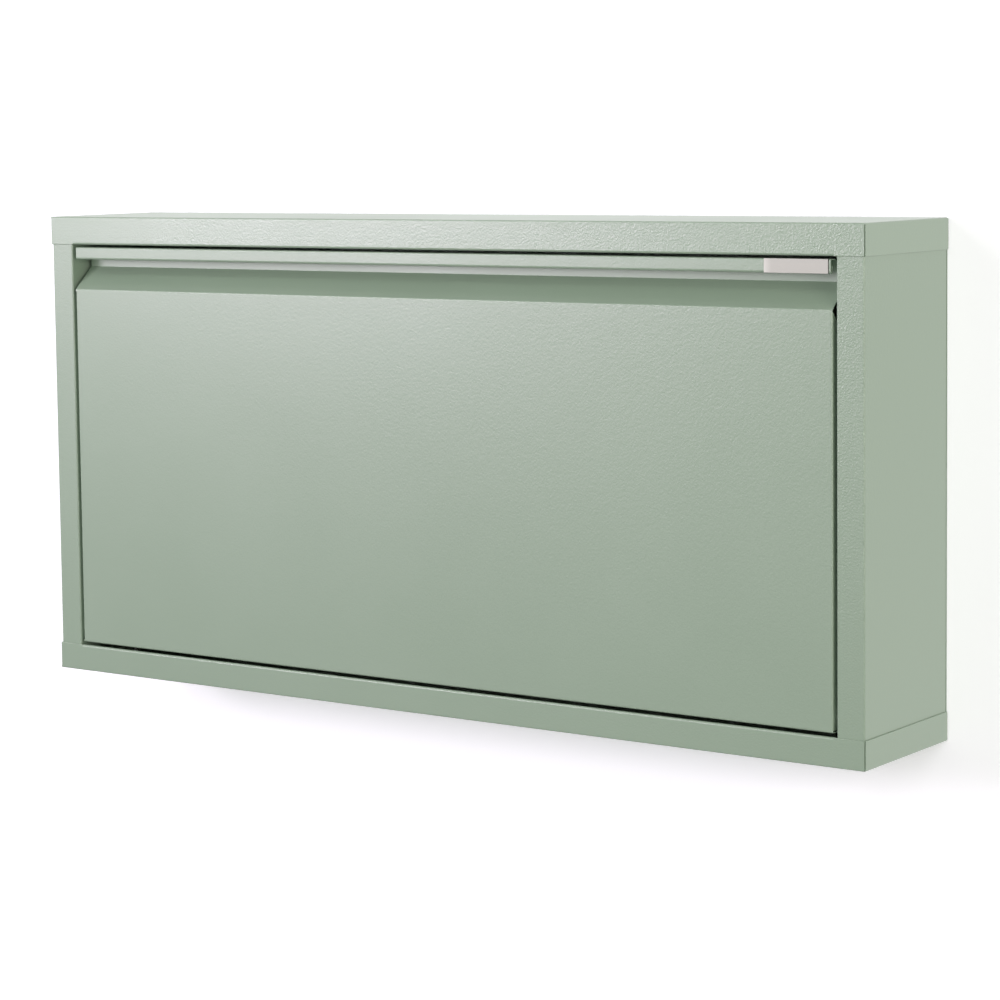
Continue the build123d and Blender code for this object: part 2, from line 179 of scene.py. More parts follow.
# Caps: shallow folded trays that wrap over the ends of the side panels, top and bottom.
# Their front corners are open slits, and the front edge between the stiles is hemmed.
# The top one's coat is a shade paler, a painted lightening that stands in for the brighter light on the top
# cap, and it is a little glossier.
top_sage_painted_light = (0.275, 0.368, 0.270, 1.0)
top_sage_pale_painted_light = (0.325, 0.419, 0.318, 1.0)
dress("top_cap", sage_coat("top_cap_coat", shift=(0.92, 0.43, 0.35), thickness=1.2,
                           paint=top_sage_painted_light, pale_paint=top_sage_pale_painted_light, satin=0.30))
dress("bottom_cap", sage_coat("bottom_cap_coat", shift=(0.24, 0.65, 0.83), thickness=1.2))

# Weld studs: zinc-plated threaded studs, shot onto the inside of the caps and the back panel
# before coating and masked, so that their threads stay bare.
mm_per_metre = 1000
thread_radius = 2.5
thread_root = 2.1
thread_pitch = 0.8
first_turn = 0.8
crest_start = 0.35
crest_end = 0.45
weld_radius = 2.6
stud_length = 10.0
tip_radius = 1.8
tip_chamfer = 0.7


def fine_marks():
    """Small irregular marks for bare and moulded hardware: a wide cloud, and fine scuffs for the relief."""
    group = bpy.data.node_groups.new("fine_marks", "ShaderNodeTree")
    sockets = group.interface
    sockets.new_socket("Cloud Scale", in_out="INPUT", socket_type="NodeSocketFloat").default_value = 90.0
    sockets.new_socket("Scuff Scale", in_out="INPUT", socket_type="NodeSocketFloat").default_value = 900.0
    sockets.new_socket("First Color", in_out="INPUT", socket_type="NodeSocketColor")
    sockets.new_socket("Second Color", in_out="INPUT", socket_type="NodeSocketColor")
    sockets.new_socket("Roughness", in_out="INPUT", socket_type="NodeSocketFloat").default_value = 0.4
    sockets.new_socket("Color", in_out="OUTPUT", socket_type="NodeSocketColor")
    sockets.new_socket("Roughness", in_out="OUTPUT", socket_type="NodeSocketFloat")
    sockets.new_socket("Height", in_out="OUTPUT", socket_type="NodeSocketFloat")
    nodes, links = group.nodes, group.links
    given = nodes.new("NodeGroupInput")
    result = nodes.new("NodeGroupOutput")
    place = nodes.new("ShaderNodeTexCoord")
    cloud = nodes.new("ShaderNodeTexNoise")
    scuff = nodes.new("ShaderNodeTexNoise")
    for noise, size, detail in ((cloud, "Cloud Scale", 4.0), (scuff, "Scuff Scale", 2.0)):
        noise.inputs["Detail"].default_value = detail
        links.new(place.outputs["Object"], noise.inputs["Vector"])
        links.new(given.outputs[size], noise.inputs["Scale"])
    tint = nodes.new("ShaderNodeMix")
    tint.data_type = "RGBA"
    links.new(cloud.outputs["Fac"], tint.inputs["Factor"])
    links.new(given.outputs["First Color"], tint.inputs[mix_first])
    links.new(given.outputs["Second Color"], tint.inputs[mix_second])
    links.new(tint.outputs[mix_result], result.inputs["Color"])
    cloud_wear = 0.25
    worn = nodes.new("ShaderNodeMath")
    worn.operation = "MULTIPLY_ADD"
    links.new(cloud.outputs["Fac"], worn.inputs[0])
    worn.inputs[1].default_value = cloud_wear
    links.new(given.outputs["Roughness"], worn.inputs[2])
    links.new(worn.outputs[0], result.inputs["Roughness"])
    links.new(scuff.outputs["Fac"], result.inputs["Height"])
    return group


marks = fine_marks()


def marked_finish(name, first, second, roughness, relief, metallic):
    """A bare or moulded finish with its own colours and depth of marks."""
    finish = bpy.data.materials.new(name)
    finish.use_nodes = True
    nodes, links = finish.node_tree.nodes, finish.node_tree.links
    shader = nodes["Principled BSDF"]
    shader.inputs["Metallic"].default_value = metallic
    skin = nodes.new("ShaderNodeGroup")
    skin.node_tree = marks
    skin.inputs["First Color"].default_value = first
    skin.inputs["Second Color"].default_value = second
    skin.inputs["Roughness"].default_value = roughness
    depth = nodes.new("ShaderNodeBump")
    depth.inputs["Strength"].default_value = relief
    depth.inputs["Distance"].default_value = 0.0001
    links.new(skin.outputs["Color"], shader.inputs["Base Color"])
    links.new(skin.outputs["Roughness"], shader.inputs["Roughness"])
    links.new(skin.outputs["Height"], depth.inputs["Height"])
    links.new(depth.outputs["Normal"], shader.inputs["Normal"])
    return finish


zinc = marked_finish("bright_zinc", first=(0.56, 0.58, 0.61, 1.0), second=(0.62, 0.60, 0.53, 1.0),
                     roughness=0.22, relief=0.25, metallic=1.0)


def turned(name, rings, segments, bored=False):
    """A turned shape about Z from rings of radius and height in millimetres, which may follow the angle."""
    crease = math.radians(32)
    shape = bmesh.new()
    rows = []
    for radius, height in rings:
        row = []
        for i in range(segments if radius else 1):
            angle = 2 * math.pi * i / segments
            out = radius(angle) if callable(radius) else radius
            up = height(angle) if callable(height) else height
            x = out * math.cos(angle) / mm_per_metre
            y = out * math.sin(angle) / mm_per_metre
            row.append(shape.verts.new((x, y, up / mm_per_metre)))
        rows.append(row)
    if bored:
        rows.append(rows[0])
    for low, high in zip(rows, rows[1:]):
        for i in range(segments):
            j = (i + 1) % segments
            corners = [low[i % len(low)], low[j % len(low)], high[j % len(high)], high[i % len(high)]]
            shape.faces.new(list(dict.fromkeys(corners)))
    bmesh.ops.recalc_face_normals(shape, faces=shape.faces[:])
    mesh = bpy.data.meshes.new(name)
    shape.to_mesh(mesh)
    shape.free()
    mesh.shade_smooth()
    mesh.set_sharp_from_angle(angle=crease)
    return mesh


def fastener_rows():
    """Sets one fastener at each place of a grid.
    Those on the right turn outward, and those on the left the other way."""
    tree = bpy.data.node_groups.new("fastener_rows", "GeometryNodeTree")
    sockets = tree.interface
    sockets.new_socket("Fastener", in_out="INPUT", socket_type="NodeSocketGeometry")
    sockets.new_socket("Columns", in_out="INPUT", socket_type="NodeSocketInt")
    sockets.new_socket("Rows", in_out="INPUT", socket_type="NodeSocketInt")
    sockets.new_socket("Column Span", in_out="INPUT", socket_type="NodeSocketFloat")
    sockets.new_socket("Row Span", in_out="INPUT", socket_type="NodeSocketFloat")
    sockets.new_socket("Grid Turn", in_out="INPUT", socket_type="NodeSocketVector")
    sockets.new_socket("Centre", in_out="INPUT", socket_type="NodeSocketVector")
    sockets.new_socket("Turn", in_out="INPUT", socket_type="NodeSocketVector")
    sockets.new_socket("Outward", in_out="INPUT", socket_type="NodeSocketFloat")
    sockets.new_socket("Finish", in_out="INPUT", socket_type="NodeSocketMaterial")
    sockets.new_socket("Geometry", in_out="OUTPUT", socket_type="NodeSocketGeometry")
    nodes, links = tree.nodes, tree.links
    given = nodes.new("NodeGroupInput")
    result = nodes.new("NodeGroupOutput")
    grid = nodes.new("GeometryNodeMeshGrid")
    places = nodes.new("GeometryNodeTransform")
    position = nodes.new("GeometryNodeInputPosition")
    split = nodes.new("ShaderNodeSeparateXYZ")
    side = nodes.new("ShaderNodeMath")
    side.operation = "SIGN"
    swing = nodes.new("ShaderNodeMath")
    swing.operation = "MULTIPLY"
    about_y = nodes.new("ShaderNodeCombineXYZ")
    facing = nodes.new("ShaderNodeVectorMath")
    facing.operation = "ADD"
    copies = nodes.new("GeometryNodeInstanceOnPoints")
    real = nodes.new("GeometryNodeRealizeInstances")
    coated = nodes.new("GeometryNodeSetMaterial")
    links.new(given.outputs["Columns"], grid.inputs["Vertices X"])
    links.new(given.outputs["Rows"], grid.inputs["Vertices Y"])
    links.new(given.outputs["Column Span"], grid.inputs["Size X"])
    links.new(given.outputs["Row Span"], grid.inputs["Size Y"])
    links.new(grid.outputs["Mesh"], places.inputs["Geometry"])
    links.new(given.outputs["Grid Turn"], places.inputs["Rotation"])
    links.new(given.outputs["Centre"], places.inputs["Translation"])
    links.new(position.outputs["Position"], split.inputs["Vector"])
    links.new(split.outputs["X"], side.inputs[0])
    links.new(side.outputs[0], swing.inputs[0])
    links.new(given.outputs["Outward"], swing.inputs[1])
    links.new(swing.outputs[0], about_y.inputs["Y"])
    links.new(given.outputs["Turn"], facing.inputs[0])
    links.new(about_y.outputs["Vector"], facing.inputs[1])
    links.new(places.outputs["Geometry"], copies.inputs["Points"])
    links.new(given.outputs["Fastener"], copies.inputs["Instance"])
    links.new(facing.outputs["Vector"], copies.inputs["Rotation"])
    links.new(copies.outputs["Instances"], real.inputs["Geometry"])
    links.new(real.outputs["Geometry"], coated.inputs["Geometry"])
    links.new(given.outputs["Finish"], coated.inputs["Material"])
    links.new(coated.outputs["Geometry"], result.inputs["Geometry"])
    return tree


rows_tree = fastener_rows()
quarter = math.pi / 2
upright = (quarter, 0.0, 0.0)
upside_down = (math.pi, 0.0, 0.0)


def set_in_rows(name, fastener, finish, body, slot, stands_for, **sizes):
    """Runs the grid for one group of like fasteners, and leaves a plain mesh that rides on its body."""
    piece = bpy.data.objects.new(name, fastener)
    bpy.context.scene.collection.objects.link(piece)
    grid = piece.modifiers.new("rows", "NODES")
    grid.node_group = rows_tree
    sizes["finish"] = finish
    for item in rows_tree.interface.items_tree:
        key = item.name.lower().replace(" ", "_")
        if item.in_out == "INPUT" and key in sizes:
            grid[item.identifier] = sizes[key]
    bpy.context.view_layer.update()
    seen = piece.evaluated_get(bpy.context.evaluated_depsgraph_get())
    made = bpy.data.meshes.new_from_object(seen)
    piece.modifiers.clear()
    piece.data = made
    made.name = name
    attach(piece, body)
    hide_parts(*stands_for)


stud_rings = [(0, 0.0), (weld_radius, 0.0), (weld_radius, 0.5), (thread_root, 0.75)]
turns = int((stud_length - 2 * first_turn) / thread_pitch)
for turn in range(turns):
    rise = first_turn + turn * thread_pitch
    stud_rings += [(thread_root, rise)]
    stud_rings += [(thread_radius, rise + crest_start), (thread_radius, rise + crest_end)]
stud_rings += [(thread_root, stud_length - tip_chamfer), (tip_radius, stud_length), (0, stud_length)]
stud = turned("stud", stud_rings, segments=20)

stud_width = 2 * thread_radius / mm_per_metre
low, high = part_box("top_cap_studs")
cap_columns = high.x - low.x - stud_width
cap_rows = high.y - low.y - stud_width
cap_y = (low.y + high.y) / 2
cap_sizes = dict(columns=2, rows=2, column_span=cap_columns, row_span=cap_rows)
set_in_rows("top_cap_weld_studs", stud, zinc, "carcass", "zinc_steel", ["top_cap_studs"],
            centre=(0.0, cap_y, high.z), turn=upside_down, **cap_sizes)
low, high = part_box("bottom_cap_studs")
set_in_rows("bottom_cap_weld_studs", stud, zinc, "carcass", "zinc_steel", ["bottom_cap_studs"],
            centre=(0.0, cap_y, low.z), **cap_sizes)
low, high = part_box("back_panel_studs")
flange_columns = high.x - low.x - stud_width
flange_rows = 0.330
flange_sizes = dict(columns=2, rows=3, column_span=flange_columns, row_span=flange_rows)
ledge_columns = 0.720
ledge_rows = high.z - low.z - stud_width
ledge_sizes = dict(columns=3, rows=2, column_span=ledge_columns, row_span=ledge_rows)
set_in_rows("back_flange_weld_studs", stud, zinc, "carcass", "zinc_steel", ["back_panel_studs"],
            centre=(0.0, high.y, 0.0), grid_turn=upright, turn=upright, **flange_sizes)
set_in_rows("back_ledge_weld_studs", stud, zinc, "carcass", "zinc_steel", ["back_panel_studs"],
            centre=(0.0, high.y, 0.0), grid_turn=upright, turn=upright, **ledge_sizes)

# Flange nuts: pressed zinc-plated hexagon nuts on the weld studs, tightened from inside.
# Each has a coned flange, chamfered corners and a countersunk thread.
nut_height = 4.0
nut_face = 3.85


def six_sided(half_across):
    """A hexagon's radius by the angle, from half its width across the flats."""
    side = math.pi / 3
    return lambda angle: half_across / math.cos((angle + side / 2) % side - side / 2)


hexagon = six_sided(half_across=4.0)
nut_rings = [
    (2.75, 0.0), (2.55, 0.25), (2.55, 3.7), (2.9, nut_height), (nut_face, nut_height),
    (hexagon, lambda angle: nut_height - 0.6 * (hexagon(angle) - nut_face)),
    (hexagon, 1.25), (4.75, 1.2), (5.35, 0.9), (5.5, 0.7), (5.5, 0.15), (5.35, 0.0),
]
nut = turned("nut", nut_rings, segments=48, bored=True)
low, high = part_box("top_cap_nuts")
set_in_rows("top_cap_flange_nuts", nut, zinc, "carcass", "zinc_steel", ["top_cap_nuts"],
            centre=(0.0, cap_y, high.z), turn=upside_down, **cap_sizes)
low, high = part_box("bottom_cap_nuts")
set_in_rows("bottom_cap_flange_nuts", nut, zinc, "carcass", "zinc_steel", ["bottom_cap_nuts"],
            centre=(0.0, cap_y, low.z), **cap_sizes)
low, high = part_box("back_panel_nuts")
set_in_rows("back_flange_nuts", nut, zinc, "carcass", "zinc_steel", ["back_panel_nuts"],
            centre=(0.0, high.y, 0.0), grid_turn=upright, turn=upright, **flange_sizes)
set_in_rows("back_ledge_nuts", nut, zinc, "carcass", "zinc_steel", ["back_panel_nuts"],
            centre=(0.0, high.y, 0.0), grid_turn=upright, turn=upright, **ledge_sizes)

# Closing buffers: two moulded black rubber dots stuck on the inside of the back panel.
# The shoe tray comes to rest on their domed fronts when the flap is shut.
rubber = marked_finish("black_rubber", first=(0.016, 0.016, 0.017, 1.0), second=(0.030, 0.030, 0.031, 1.0),
                       roughness=0.55, relief=0.35, metallic=0.0)
buffer_radius = 6.0
low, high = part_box("closing_buffers")
reach = (high.y - low.y) * mm_per_metre
buffer_rings = [
    (0, 0.0), (5.7, 0.0), (buffer_radius, 0.3), (buffer_radius, 1.2), (5.6, 1.9),
    (5.2, 0.45 * reach), (5.1, 0.75 * reach), (4.8, 0.88 * reach), (4.0, 0.955 * reach),
    (2.5, 0.99 * reach), (0, reach),
]
dot = turned("dot", buffer_rings, segments=40)
buffer_width = 2 * buffer_radius / mm_per_metre
set_in_rows("closing_buffer_dots", dot, rubber, "carcass", "black_rubber", ["closing_buffers"],
            columns=2, rows=1, column_span=high.x - low.x - buffer_width, row_span=0.0,
            centre=(0.0, high.y, (low.z + high.z) / 2), turn=upright)

# Pivot bushes: moulded nylon bushes that snap into the stile returns from the flap's side.
# A thick flange spaces the flap, and a slotted nose behind a barb holds the bush in the sheet.
nylon = marked_finish("natural_nylon", first=(0.70, 0.69, 0.64, 1.0), second=(0.76, 0.75, 0.71, 1.0),
                      roughness=0.32, relief=0.12, metallic=0.0)
low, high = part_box("right_pivot_bush")
spacer = 2.25
nose = (high.x - low.x) * mm_per_metre - spacer
slot_depth = 0.9
slot_width = math.radians(16)


def slotted(radius):
    """A radius that drops into four slots round the nose."""
    return lambda angle: radius - slot_depth if angle % quarter < slot_width else radius


bush_rings = [
    (3.4, -spacer), (7.4, -spacer), (7.85, 0.25 - spacer), (8.0, 0.7 - spacer), (8.0, -0.15), (7.85, 0.0),
    (5.0, 0.0), (5.0, 0.85), (slotted(5.55), 0.95), (slotted(5.55), 1.35), (slotted(5.0), 2.4),
    (slotted(4.9), nose - 0.6), (slotted(4.5), nose), (3.35, nose), (3.08, nose - 0.3),
    (3.08, 0.3 - spacer),
]
bush = turned("bush", bush_rings, segments=60, bored=True)
pivot_y = (low.y + high.y) / 2
pivot_z = (low.z + high.z) / 2
side_pair = dict(columns=2, rows=1, row_span=0.0, outward=quarter)
set_in_rows("pivot_bush_pair", bush, nylon, "carcass", "nylon", ["left_pivot_bush", "right_pivot_bush"],
            column_span=2 * (low.x + spacer / mm_per_metre), centre=(0.0, pivot_y, pivot_z), **side_pair)

# Flap front: the large face, folded back at its sides and foot, with the finger grip folded into its top:
# a slanted face, a back wall, a top and a hemmed lip. One sheet of steel.
dress("flap_front", sage_coat("flap_coat", shift=(0.74, 0.22, 0.51), thickness=0.7))

# Cheeks: flat cut sheets at both sides of the shoe space, riveted to the flap's side flanges.
# Their top edges follow an arc about the pivot.
dress("left_cheek", sage_coat("left_cheek_coat", shift=(0.15, 0.94, 0.47)))
dress("right_cheek", sage_coat("right_cheek_coat", shift=(0.61, 0.36, 0.92)))

# Shoe tray: floor and back of the shoe space in one folded sheet, closed by a lip along its top.
# It is riveted to the cheeks and moves with the flap.
dress("shoe_tray", sage_coat("shoe_tray_coat", shift=(0.44, 0.58, 0.08)))

# Rivets: zinc-plated blind rivets, pulled from outside through the flanges and cheeks.
# Each leaves a domed head with the broken mandrel in its middle, and a bulb inside.
rivet_rings = [
    (0, 0.62), (0.55, 0.58), (0.72, 0.50), (0.78, 0.95), (1.05, 1.1), (1.7, 1.04), (2.4, 0.82), (2.9, 0.5),
    (3.15, 0.2), (3.2, 0.0), (1.6, 0.0), (1.6, -1.6), (2.1, -1.7), (2.4, -2.2), (2.35, -2.9), (1.9, -3.4),
    (0, -3.6),
]
blind_rivet = turned("blind_rivet", rivet_rings, segments=24)
rivet_edge = 0.0032
head_height = 0.0011
low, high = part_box("flap_rivets")
set_in_rows("flap_blind_rivets", blind_rivet, zinc, "flap", "zinc_steel", ["flap_rivets"],
            columns=2, rows=4, column_span=high.x - low.x - 2 * head_height,
            row_span=high.z - low.z - 2 * rivet_edge, grid_turn=upright,
            centre=(0.0, (low.y + high.y) / 2, (low.z + high.z) / 2), outward=quarter)
low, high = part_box("tray_rivets")
tray_y = (low.y + high.y) / 2
tray_span = high.x - low.x - 2 * head_height
stop_low, stop_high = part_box("right_stop_screw")
stop_rivet_gap = 0.040
first_upper = (stop_low.z + stop_high.z) / 2 + stop_rivet_gap
upper_rivets = high.z - rivet_edge - first_upper
set_in_rows("tray_lower_rivets", blind_rivet, zinc, "flap", "zinc_steel", ["tray_rivets"],
            column_span=tray_span, centre=(0.0, tray_y, low.z + rivet_edge), **side_pair)
set_in_rows("tray_upper_rivets", blind_rivet, zinc, "flap", "zinc_steel", ["tray_rivets"],
            columns=2, rows=3, column_span=tray_span, row_span=upper_rivets, grid_turn=upright,
            centre=(0.0, tray_y, high.z - rivet_edge - upper_rivets / 2), outward=quarter)

# Pivot pins: turned steel pins with a flat head inside the cheek, pushed out through cheek and flap.
# Their ends run in the nylon bushes.
low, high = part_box("right_pivot_pin")
pin_head = 2.0
pin_end = (high.x - low.x) * mm_per_metre - pin_head
pin_rings = [
    (0, -pin_head), (4.6, -pin_head), (5.5, -1.85), (5.9, -1.5), (6.0, -1.1), (6.0, -0.2), (5.8, 0.0),
    (3.0, 0.0), (3.0, pin_end - 0.8), (2.4, pin_end), (0, pin_end),
]
pin = turned("pin", pin_rings, segments=40)
set_in_rows("pivot_pin_pair", pin, zinc, "flap", "zinc_steel", ["left_pivot_pin", "right_pivot_pin"],
            column_span=2 * (low.x + pin_head / mm_per_metre), centre=(0.0, pivot_y, pivot_z), **side_pair)

# Pivot retainers: push-on spring-steel washers that grip the pins outside the flap's flanges.
# Six prongs are bent up round the pin, with slots between them.
washer_height = 1.0
prong_pitch = math.pi / 3
prong_width = math.radians(42)


def prong(inside, between):
    """One value on the six prongs and another in the slots between them."""
    return lambda angle: inside if angle % prong_pitch < prong_width else between


washer_rings = [
    (prong(3.06, 4.35), prong(0.72, 0.0)), (4.5, 0.0), (5.35, 0.0), (5.5, 0.12), (5.5, 0.34), (5.35, 0.46),
    (4.5, 0.46), (prong(3.06, 4.35), prong(washer_height, 0.46)),
]
washer = turned("washer", washer_rings, segments=60, bored=True)
low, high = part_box("pivot_retainers")
set_in_rows("pivot_retainer_pair", washer, zinc, "flap", "zinc_steel", ["pivot_retainers"],
            column_span=high.x - low.x - 2 * washer_height / mm_per_metre,
            centre=(0.0, pivot_y, pivot_z), **side_pair)

# Stop screws: button-head socket screws from inside the tray, through tray and cheek.
# At full tilt the sleeves on their outer ends meet the rear edges of the stile returns.
low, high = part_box("right_stop_screw")
screw_head = 3.0
screw_end = (high.x - low.x) * mm_per_metre - screw_head
socket = six_sided(half_across=1.5)
screw_rings = [
    (0, -1.3), (socket, -1.3), (socket, -2.85), (2.0, -screw_head), (2.7, -screw_head), (3.7, -2.7),
    (4.4, -2.05), (4.75, -1.1), (4.8, -0.15), (4.65, 0.0), (thread_radius, 0.0),
    (thread_radius, screw_end - 0.5), (thread_root, screw_end), (0, screw_end),
]
screw = turned("screw", screw_rings, segments=48)
stop_y = (low.y + high.y) / 2
stop_z = (low.z + high.z) / 2
set_in_rows("stop_screw_pair", screw, zinc, "flap", "zinc_steel", ["left_stop_screw", "right_stop_screw"],
            column_span=2 * (low.x + screw_head / mm_per_metre), centre=(0.0, stop_y, stop_z), **side_pair)

# Stop nuts: the same flange nuts, which clamp the stop screws to the cheeks from outside.
# They leave the screws' ends free for the sleeves.
low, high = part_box("stop_nuts")
set_in_rows("stop_flange_nuts", nut, zinc, "flap", "zinc_steel", ["stop_nuts"],
            column_span=high.x - low.x - 2 * nut_height / mm_per_metre,
            centre=(0.0, stop_y, stop_z), **side_pair)

# Stop sleeves: black rubber tubes pushed over the ends of the stop screws to quieten the stop.
# They are moulded, with rounded ends and a slightly waisted middle.
low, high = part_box("stop_sleeves")
sleeve_length = 14.0
sleeve_rings = [
    (2.85, 0.0), (4.5, 0.0), (4.9, 0.25), (5.0, 0.7), (5.0, 4.6), (4.82, 5.0), (4.82, 9.0), (5.0, 9.4),
    (5.0, 13.3), (4.9, 13.75), (4.5, sleeve_length), (2.85, sleeve_length), (2.56, 13.7), (2.56, 0.3),
]
sleeve = turned("sleeve", sleeve_rings, segments=40, bored=True)
set_in_rows("stop_sleeve_pair", sleeve, rubber, "flap", "black_rubber", ["stop_sleeves"],
            column_span=high.x - low.x - 2 * sleeve_length / mm_per_metre,
            centre=(0.0, stop_y, stop_z), **side_pair)

# Plate: a blank strip of brushed, clear anodised aluminium with bevelled edges.
# It is glued to the front of the lip at its right end. Its left end has a painted highlight, a little
# paler, and its right end a painted shade, a thin dark line.
low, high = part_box("label_plate")
# The painted highlight spans the left end's first 7 mm, and the painted shade the right end's last half
# millimetre.
highlight_length = 0.007
shaded_end_length = 0.0005
stroke_roughness = 0.15
least_roughness = 0.55
brushed = bpy.data.materials.new("brushed_aluminium")
brushed.use_nodes = True
nodes, links = brushed.node_tree.nodes, brushed.node_tree.links
shader = nodes["Principled BSDF"]
shader.inputs["Metallic"].default_value = 1.0
place = nodes.new("ShaderNodeTexCoord")
drawn = nodes.new("ShaderNodeMapping")
drawn.inputs["Scale"].default_value = (14.0, 900.0, 900.0)
strokes = nodes.new("ShaderNodeTexNoise")
strokes.inputs["Scale"].default_value = 3.0
strokes.inputs["Detail"].default_value = 4.0
tone = nodes.new("ShaderNodeMix")
tone.data_type = "RGBA"
tone.inputs[mix_first].default_value = (0.36, 0.36, 0.33, 1.0)
tone.inputs[mix_second].default_value = (0.44, 0.44, 0.40, 1.0)
along = nodes.new("ShaderNodeSeparateXYZ")
highlight_ramp = nodes.new("ShaderNodeMapRange")
highlight_ramp.inputs["From Min"].default_value = low.x
highlight_ramp.inputs["From Max"].default_value = low.x + highlight_length
highlight_ramp.inputs["To Min"].default_value = 1.0
highlight_ramp.inputs["To Max"].default_value = 0.0
# Painted highlight: the left end is mixed toward a paler tone.
painted_highlight = nodes.new("ShaderNodeMix")
painted_highlight.data_type = "RGBA"
painted_highlight.inputs[mix_second].default_value = (0.50, 0.50, 0.46, 1.0)
# Painted shade: the last half millimetre at the right end is picked out here.
shaded_end = nodes.new("ShaderNodeMath")
shaded_end.operation = "GREATER_THAN"
shaded_end.inputs[1].default_value = high.x - shaded_end_length
# Painted shade: that right end is mixed to near black.
painted_end_shade = nodes.new("ShaderNodeMix")
painted_end_shade.data_type = "RGBA"
painted_end_shade.inputs[mix_second].default_value = (0.07, 0.07, 0.065, 1.0)
dull = nodes.new("ShaderNodeMath")
dull.operation = "MULTIPLY_ADD"
dull.inputs[1].default_value = stroke_roughness
dull.inputs[2].default_value = least_roughness
lines = nodes.new("ShaderNodeBump")
lines.inputs["Strength"].default_value = 0.15
lines.inputs["Distance"].default_value = 0.0001
links.new(place.outputs["Object"], drawn.inputs["Vector"])
links.new(drawn.outputs["Vector"], strokes.inputs["Vector"])
links.new(strokes.outputs["Fac"], tone.inputs["Factor"])
links.new(place.outputs["Object"], along.inputs["Vector"])
links.new(along.outputs["X"], highlight_ramp.inputs["Value"])
links.new(highlight_ramp.outputs["Result"], painted_highlight.inputs["Factor"])
links.new(tone.outputs[mix_result], painted_highlight.inputs[mix_first])
links.new(along.outputs["X"], shaded_end.inputs[0])
links.new(shaded_end.outputs["Value"], painted_end_shade.inputs["Factor"])
links.new(painted_highlight.outputs[mix_result], painted_end_shade.inputs[mix_first])
links.new(painted_end_shade.outputs[mix_result], shader.inputs["Base Color"])
links.new(strokes.outputs["Fac"], dull.inputs[0])
links.new(dull.outputs[0], shader.inputs["Roughness"])
links.new(strokes.outputs["Fac"], lines.inputs["Height"])
links.new(lines.outputs["Normal"], shader.inputs["Normal"])
dress("label_plate", brushed)

# Studio: a white wall that the cabinet hangs on, and a pale floor well below it.
# Both are seen and felt only from their fronts, so that the back of the cabinet can be looked at too.
wall_y = 0.0006
floor_z = -1.6
stage_half = 9.0


def stage_sheet(name, corners, colour, glow, bounce, sheen):
    """A flat sheet that shows the camera its lit front with a little glow.
    The gloss sees an even sheen in it, and the rest of the light an even bounce."""
    mesh = bpy.data.meshes.new(name)
    mesh.from_pydata(corners, [], [(0, 1, 2, 3)])
    sheet = bpy.data.objects.new(name, mesh)
    bpy.context.scene.collection.objects.link(sheet)
    paint = bpy.data.materials.new(name + "_paint")
    paint.use_nodes = True
    nodes, links = paint.node_tree.nodes, paint.node_tree.links
    nodes.remove(nodes["Principled BSDF"])
    matt = nodes.new("ShaderNodeBsdfDiffuse")
    matt.inputs["Color"].default_value = colour
    shine = nodes.new("ShaderNodeEmission")
    shine.inputs["Strength"].default_value = glow
    lit = nodes.new("ShaderNodeAddShader")
    even = nodes.new("ShaderNodeEmission")
    strength = nodes.new("ShaderNodeMath")
    strength.operation = "MULTIPLY_ADD"
    strength.inputs[1].default_value = sheen - bounce
    strength.inputs[2].default_value = bounce
    clear = nodes.new("ShaderNodeBsdfTransparent")
    path = nodes.new("ShaderNodeLightPath")
    geometry = nodes.new("ShaderNodeNewGeometry")
    front = nodes.new("ShaderNodeMixShader")
    shown = nodes.new("ShaderNodeMixShader")
    links.new(matt.outputs["BSDF"], lit.inputs[0])
    links.new(shine.outputs["Emission"], lit.inputs[1])
    links.new(path.outputs["Is Glossy Ray"], strength.inputs[0])
    links.new(strength.outputs["Value"], even.inputs["Strength"])
    links.new(path.outputs["Is Camera Ray"], front.inputs["Fac"])
    links.new(even.outputs["Emission"], front.inputs[1])
    links.new(lit.outputs["Shader"], front.inputs[2])
    links.new(geometry.outputs["Backfacing"], shown.inputs["Fac"])
    links.new(front.outputs["Shader"], shown.inputs[1])
    links.new(clear.outputs["BSDF"], shown.inputs[2])
    links.new(shown.outputs["Shader"], nodes["Material Output"].inputs["Surface"])
    mesh.materials.append(paint)


stage_sheet("wall", [(-stage_half, wall_y, floor_z), (stage_half, wall_y, floor_z),
                     (stage_half, wall_y, stage_half), (-stage_half, wall_y, stage_half)],
            colour=(0.97, 0.98, 1.0, 1.0), glow=0.24, bounce=0.7, sheen=1.3)
stage_sheet("floor", [(-stage_half, -stage_half, floor_z), (stage_half, -stage_half, floor_z),
                      (stage_half, stage_half, floor_z), (-stage_half, stage_half, floor_z)],
            colour=(0.55, 0.55, 0.55, 1.0), glow=0.72, bounce=0.33, sheen=0.33)

# Light: two softboxes at the front left with one above them, a fill beside the camera, and a soft one
# at the right. The room is dim, but the camera and the gloss see it white.
white = (1.0, 1.0, 1.0)
studio = bpy.data.worlds.new("studio")
bpy.context.scene.world = studio
studio.use_nodes = True
nodes, links = studio.node_tree.nodes, studio.node_tree.links
dim_room = nodes["Background"]
dim_room.inputs["Color"].default_value = (*white, 1.0)
dim_room.inputs["Strength"].default_value = 0.30
white_room = nodes.new("ShaderNodeBackground")
white_room.inputs["Color"].default_value = (*white, 1.0)
white_room.inputs["Strength"].default_value = 1.0
path = nodes.new("ShaderNodeLightPath")
direct = nodes.new("ShaderNodeMath")
direct.operation = "MAXIMUM"
through = nodes.new("ShaderNodeMath")
through.operation = "MAXIMUM"
choice = nodes.new("ShaderNodeMixShader")
links.new(path.outputs["Is Camera Ray"], direct.inputs[0])
links.new(path.outputs["Is Glossy Ray"], direct.inputs[1])
links.new(direct.outputs["Value"], through.inputs[0])
links.new(path.outputs["Is Transmission Ray"], through.inputs[1])
